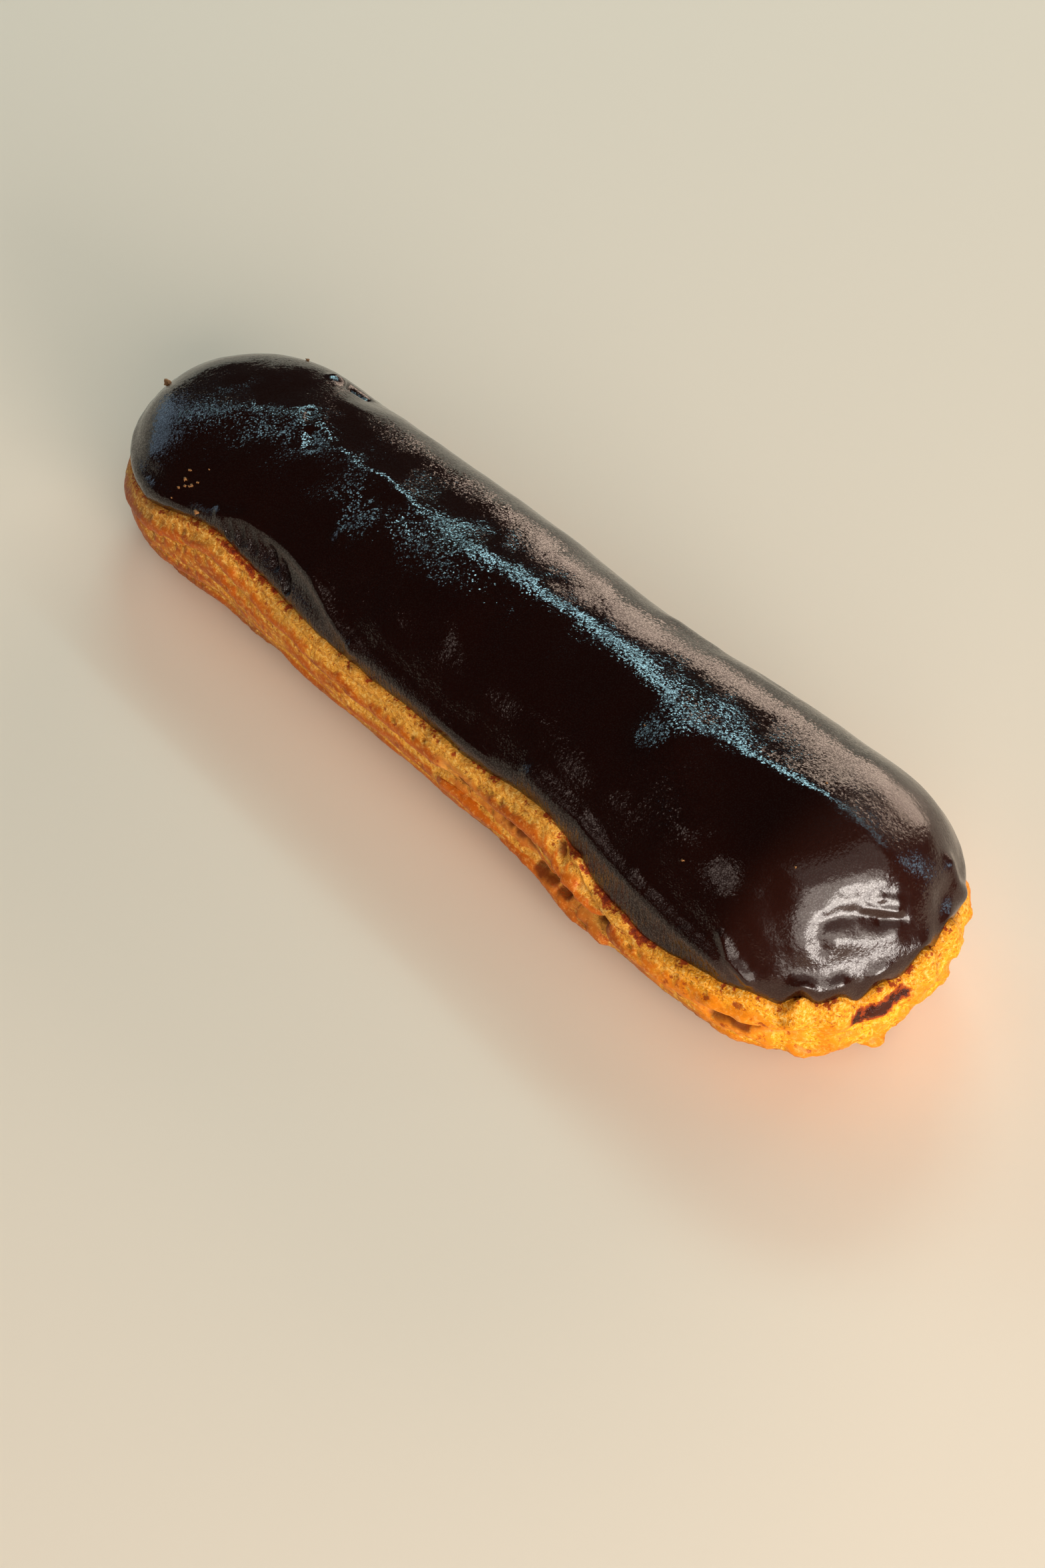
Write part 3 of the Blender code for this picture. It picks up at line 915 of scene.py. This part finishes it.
places, facing = points(bun), outward(bun)
rough_zone = smooth_step(-0.1, 0.35, clouds(places * (0.4, 1, 1), 4.0, seed=11.0))
hollows = pores(places * (0.7, 1, 1), PORE_SPACING, 0.45) * rough_zone * wall
crumb_holes = pores(places * (0.8, 1, 1.2), 1.0, 0.8) * split_zone
set_points(bun, places - facing * (PORE_DEPTH * hollows + CRUMB_HOLE_DEPTH * crumb_holes)[:, None])
print("points in a pore:", int((hollows > 0).sum()))

# %% [markdown]
# ## Where the crust is brown, pale, wet or shaded
#
# The heat browned what stands out and left the hollows pale, so each point is compared with a
# smoothed copy of the crust; narrow grooves found in the same way get painted shade. Next to the
# icing the crust is soaked, which is read from the distance to the icing's edge. Painted shade
# also goes inside the pits, at the foot and at the end away from the lamps, and painted light at
# the blunt end. All of it is painted on the mesh for the material.


# %% What stands out and what is hollow
def standing_out(piece, passes):
    """How far each point stands out from a smoothed copy of the piece, in millimetres."""
    copy = bpy.data.objects.new("smoothed", piece.data.copy())
    bpy.context.scene.collection.objects.link(copy)
    softener = copy.modifiers.new("soften", "SMOOTH")
    softener.factor = 0.5
    softener.iterations = passes
    apply_modifiers(copy)
    height = ((points(piece) - points(copy)) * outward(piece)).sum(1)
    bpy.data.objects.remove(copy)
    return height


places = points(bun)
broad = standing_out(bun, 60)
narrow = standing_out(bun, 10)
print("crest from", round(float(broad.min()), 2), "to", round(float(broad.max()), 2), "mm")
stands = smooth_step(-0.22, 0.26, broad)
# Narrow grooves get painted shade
groove_shade = smooth_step(0.015, 0.09, -narrow)

# %% Distance to the icing
ICING_EDGE_TOP = 19
NEAR_ICING_FROM = 9
NEAR_ICING_TO = WALL_TOP + 2
FAR_AWAY = 9.0

rim_points = points(icing)
rim_points = rim_points[rim_points[:, 2] < ICING_EDGE_TOP]
rim_tree = tree_of(rim_points)
distance = np.full(len(places), FAR_AWAY)
near_icing = (places[:, 2] > NEAR_ICING_FROM) & (places[:, 2] < NEAR_ICING_TO)
for index in np.nonzero(near_icing)[0]:
    distance[index] = rim_tree.find(places[index])[2]
print("points near the icing:", int(near_icing.sum()))

# %% Painted values of the crust
WET_LINES = [[(-40, -17.6, 16.6), (-33, -17, 17), (-27, -17.4, 16.4)],
             [(30, -19.4, 15), (37, -19.8, 13.6), (45, -20.2, 12.6)]]
WET_SPREAD = 1.8
SMEAR_LINE = [(71.4, -9.0, 11.6), (72.4, -6.6, 12.6), (73.0, -3.8, 13.4)]
SMEAR_SPREAD = 1.5

wet_lines = np.maximum(*[stroke(places, line_of, WET_SPREAD) for line_of in WET_LINES])
paint(bun, "crest", stands)
paint(bun, "hollow", groove_shade)
paint(bun, "soaked", (1 - smooth_step(0.1, 1.5, distance)) * (0.3 + 0.65 * wet_lines))
# Painted light: the crust is made brighter golden towards the blunt end, where the warm lamps shine
paint(bun, "golden", smooth_step(38, 62, places[:, 0]))
paint(bun, "upper", 1 - smooth_step(1.4, 3.0, below_icing(places)))
paint(bun, "crumb", crumb_zone)
paint(bun, "smear", stroke(places, SMEAR_LINE, SMEAR_SPREAD))
paint(bun, "pocket", smooth_step(0.35, 0.8, pit_shade_zone))
# Painted shade: darker towards the floor, under the belly of the bun
paint(bun, "foot_shade", 1 - smooth_step(1, 8, places[:, 2]))
# Painted shade: darker towards the other end, away from the warm lamps
paint(bun, "shaded_end", 1 - smooth_step(-64, -14, places[:, 0]))
print("soaked points:", int((distance < 1.5).sum()))

# %% [markdown]
# ## Crust finish
#
# The crests of the ridges baked to a smooth orange-brown with a faint sheen. The hollows between
# them stayed pale and rough, with little pores whose dark is painted shade. A wrapped picture of
# crust would show its seam, so the colours are laid over each other one by one, from the painted
# values and noise.

# %% Colours of the crust
CREST_BROWN = linear(196, 94, 2)
DEEP_BROWN = linear(148, 58, 2)
PALE_CRUST = linear(236, 168, 58)
PALE_GRAIN = linear(252, 208, 116)
GRAIN_SHADE = linear(182, 98, 20)
LAMPLIT_GOLDEN = linear(254, 178, 24)
LAMPLIT_GOLDEN_CREST = linear(242, 140, 4)
CRUMB_PALE = linear(226, 164, 72)
POCKET_SHADE = linear(98, 34, 2)
AMBER_SHADE = linear(226, 122, 4)
FOOT_SHADE = linear(124, 72, 22)
PORE_SHADE = linear(140, 60, 8)
SOAKED_BROWN = linear(112, 34, 6)
SMEAR_BROWN = linear(64, 20, 6)
SMEAR_EDGE = linear(160, 62, 8)

# %% Baked crests and pale hollows, with painted light and shade
crust = Finish("crust")
high = crust.attribute("crest")
streaks = crust.grain(2.6, 4.0, 0.65, stretch=(0.3, 1, 1))
baked = crust.ramp(crust.maths("ADD", high, crust.maths("MULTIPLY", streaks, 1.4)), 0.96, 1.42)
baked = crust.maths("MULTIPLY", baked, crust.ramp(crust.attribute("upper"), 0, 1, 1.0, 0.15))
# Painted light: pale parts and crests turn brighter golden towards the lit blunt end
pale = crust.mix(crust.attribute("golden"), PALE_CRUST, LAMPLIT_GOLDEN)
brown = crust.mix(crust.attribute("golden"), CREST_BROWN, LAMPLIT_GOLDEN_CREST)
colour = crust.mix(baked, pale, brown)
deep = crust.ramp(crust.grain(4.0, 4.0, 0.65, stretch=(0.4, 1, 1)), 0.5, 0.68)
deep = crust.maths("MULTIPLY", deep, crust.ramp(crust.attribute("golden"), 0, 1, 0.8, 0.35))
colour = crust.mix(crust.maths("MULTIPLY", deep, baked), colour, DEEP_BROWN)
# Painted shade at the foot of the bun
colour = crust.mix(crust.maths("MULTIPLY", crust.attribute("foot_shade"), 0.8), colour, FOOT_SHADE)
# Painted shade at the end away from the warm lamps
colour = crust.mix(crust.maths("MULTIPLY", crust.attribute("shaded_end"), 0.4), colour, DEEP_BROWN)
# Painted shade: a deeper amber just under the icing at the blunt end
amber_shade = crust.maths("MULTIPLY", crust.attribute("upper"), crust.attribute("golden"))
colour = crust.mix(crust.maths("MULTIPLY", amber_shade, 0.35), colour, AMBER_SHADE)

# %% Pale grain, crumb, pits and pores
grains = crust.grain(0.5, 3.0, 0.75)
speckled = crust.ramp(baked, 0.0, 0.8, 0.75, 0.25)
light_grain = crust.maths("MULTIPLY", crust.ramp(grains, 0.50, 0.64), speckled)
dark_grain = crust.maths("MULTIPLY", crust.ramp(grains, 0.48, 0.36), speckled)
colour = crust.mix(light_grain, colour, PALE_GRAIN)
colour = crust.mix(dark_grain, colour, GRAIN_SHADE)
colour = crust.mix(crust.maths("MULTIPLY", crust.attribute("crumb"), 0.55), colour, CRUMB_PALE)
# Painted shade inside the pits and holes
colour = crust.mix(crust.maths("MULTIPLY", crust.attribute("pocket"), 0.85), colour, POCKET_SHADE)
pore_dots = crust.ramp(crust.cells(0.6).outputs["Distance"], 0.18, 0.07)
pore_field = crust.ramp(crust.grain(3.0, 3.0, stretch=(0.5, 1, 1)), 0.46, 0.58)
rough_dots = crust.maths("MULTIPLY", crust.maths("MULTIPLY", pore_dots, pore_field),
                         crust.ramp(baked, 0.0, 0.9, 1.0, 0.15))
# Painted shade in the grooves and the pores, with less of it at the lit blunt end
dark = crust.maths("MAXIMUM", crust.attribute("hollow"), rough_dots)
clear = crust.ramp(crust.attribute("golden"), 0, 1, 0.55, 0.25)
colour = crust.mix(crust.maths("MULTIPLY", dark, clear), colour, PORE_SHADE)

# %% [markdown]
# ## Soaked crust and the smear
#
# Where the icing soaked in, the crust has a ragged dark rim, and one smear of chocolate lies on
# the blunt end. Noise is added to the painted values before the steps, which makes their borders
# ragged.

# %% Soaked crust and the smear
wet_patches = crust.ramp(crust.grain(1.3, 4.0, 0.7), 0.3, 0.7)
wet = crust.maths("ADD", crust.attribute("soaked"), wet_patches)
colour = crust.mix(crust.ramp(wet, 0.8, 1.05), colour, SMEAR_EDGE)
colour = crust.mix(crust.ramp(wet, 1.15, 1.45), colour, SOAKED_BROWN)
smeared = crust.maths("ADD", crust.attribute("smear"), crust.grain(1.1, 4.0, 0.7))
colour = crust.mix(crust.ramp(smeared, 1.0, 1.2), colour, SMEAR_EDGE)
smear = crust.ramp(smeared, 1.22, 1.36)
colour = crust.mix(smear, colour, SMEAR_BROWN)
crust.feed(crust.shader, "Base Color", colour)

# %% [markdown]
# ## Sheen and fine relief of the crust
#
# The baked crests are smoother than the pale hollows, and the smear is smoother still. A little
# light passes through the pastry, which softens its shade. The grain and the pores are bump,
# because they are too small to model.

# %% Sheen and fine relief of the crust
PALE_ROUGHNESS = (0.68, 0.68, 0.68, 1)
BAKED_ROUGHNESS = (0.46, 0.46, 0.46, 1)
SMEAR_ROUGHNESS = (0.22, 0.22, 0.22, 1)
CRUST_SHINE = 0.25
LIGHT_INSIDE = 0.08
LIGHT_INSIDE_COLOUR = (1.0, 0.45, 0.18)
LIGHT_INSIDE_REACH = 1.2 * MM

matt = crust.mix(baked, PALE_ROUGHNESS, BAKED_ROUGHNESS)
matt = crust.mix(smear, matt, SMEAR_ROUGHNESS)
crust.feed(crust.shader, "Roughness", matt)
crust.feed(crust.shader, "Specular IOR Level", CRUST_SHINE)
crust.feed(crust.shader, "Subsurface Weight", LIGHT_INSIDE)
crust.feed(crust.shader, "Subsurface Radius", LIGHT_INSIDE_COLOUR)
crust.feed(crust.shader, "Subsurface Scale", LIGHT_INSIDE_REACH)
fine = crust.bump(grains, 0.25)
crust.feed(fine.node, "Distance", crust.ramp(baked, 0.2, 0.9, 0.28 * MM, 0.08 * MM))
pitted = crust.bump(crust.maths("SUBTRACT", 1.0, rough_dots), 0.16, before=fine)
crust.feed(crust.shader, "Normal", pitted)
bun.data.materials.append(crust.material)
print("crust:", len(crust.tree.nodes), "nodes")

# %% [markdown]
# ## Crumbs on the icing
#
# A few golden crumbs fell on the icing. Each is a tiny ball, pushed out of shape and set on the
# icing below its place, and all are joined into one piece.

# %% Crumbs
# Each crumb: its place in plan and its size, in mm
CRUMBS = [
    ((-50.9, -15.6), 0.18), ((-50.4, -14.6), 0.26), ((-50.0, -15.1), 0.2), ((-48.9, -14.7), 0.24),
    ((-48.2, -14.1), 0.16), ((-50.5, -13.6), 0.2), ((-51.1, -16.9), 0.12), ((-45.8, -16.4), 0.32),
    ((-49.4, -14.9), 0.11), ((-47.6, -12.4), 0.1), ((-70.3, -2.4), 0.55), ((-57.2, 13.4), 0.25),
    ((46.4, -14.9), 0.14), ((53.2, 2.4), 0.12), ((31, -6), 0.11), ((58.2, -8.4), 0.12),
]
ABOVE_ALL = 60
CRUMB_SHAPE = (1.25, 0.9, 0.75)
CRUMB_LUMPS = 1.1
CRUMB_SUNK = 0.45


def set_on_icing(x, y):
    """Place on top of the icing over this place in plan, in millimetres, and where it faces."""
    hit, place, facing, face = icing.ray_cast(Vector((x, y, ABOVE_ALL)) * MM, Vector((0, 0, -1)))
    return place / MM, facing


crumb_parts = []
for number, ((x, y), size) in enumerate(CRUMBS):
    place, facing = set_on_icing(x, y)
    bpy.ops.mesh.primitive_ico_sphere_add(subdivisions=2, radius=size * MM)
    crumb = bpy.context.object
    shape = points(crumb)
    swell = 1 + CRUMB_LUMPS * clouds(shape, size * 0.9, seed=float(number))
    shape = shape * swell[:, None] * CRUMB_SHAPE + np.array(place + facing * size * CRUMB_SUNK)
    set_points(crumb, shape)
    crumb_parts.append(crumb)
bpy.ops.object.select_all(action="DESELECT")
for crumb in crumb_parts:
    crumb.select_set(True)
bpy.context.view_layer.objects.active = crumb_parts[0]
bpy.ops.object.join()
crumbs = bpy.context.object
crumbs.name = "golden_crumbs"
bpy.ops.object.shade_smooth()
print(len(CRUMBS), "crumbs")

# %% [markdown]
# ## Crumb finish
#
# The crumbs are matt bits of pastry, mottled from brown to tan. They are too small for more than
# one noise for their colour and one for their grain.

# %% Crumb finish
CRUMB_BROWN = linear(112, 68, 30)
CRUMB_TAN = linear(176, 124, 70)
CRUMB_ROUGHNESS = 0.7

crumb_finish = Finish("crumb")
mottled = crumb_finish.mix(crumb_finish.grain(0.5), CRUMB_BROWN, CRUMB_TAN)
crumb_finish.feed(crumb_finish.shader, "Base Color", mottled)
crumb_finish.feed(crumb_finish.shader, "Roughness", CRUMB_ROUGHNESS)
crumb_finish.feed(crumb_finish.shader, "Normal", crumb_finish.bump(crumb_finish.grain(0.2, 3.0), 0.05))
crumbs.data.materials.append(crumb_finish.material)
print("crumb:", len(crumb_finish.tree.nodes), "nodes")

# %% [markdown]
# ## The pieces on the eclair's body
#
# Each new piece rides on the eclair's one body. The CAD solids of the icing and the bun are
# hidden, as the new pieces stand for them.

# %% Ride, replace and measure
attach(icing, "root")
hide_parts("chocolate_icing")
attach(bun, "root")
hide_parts("choux_bun")
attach(crumbs, "root")

for piece in (icing, bun, crumbs):
    triangles = sum(len(face.vertices) - 2 for face in piece.data.polygons)
    print(piece.name, "has", triangles, "triangles")
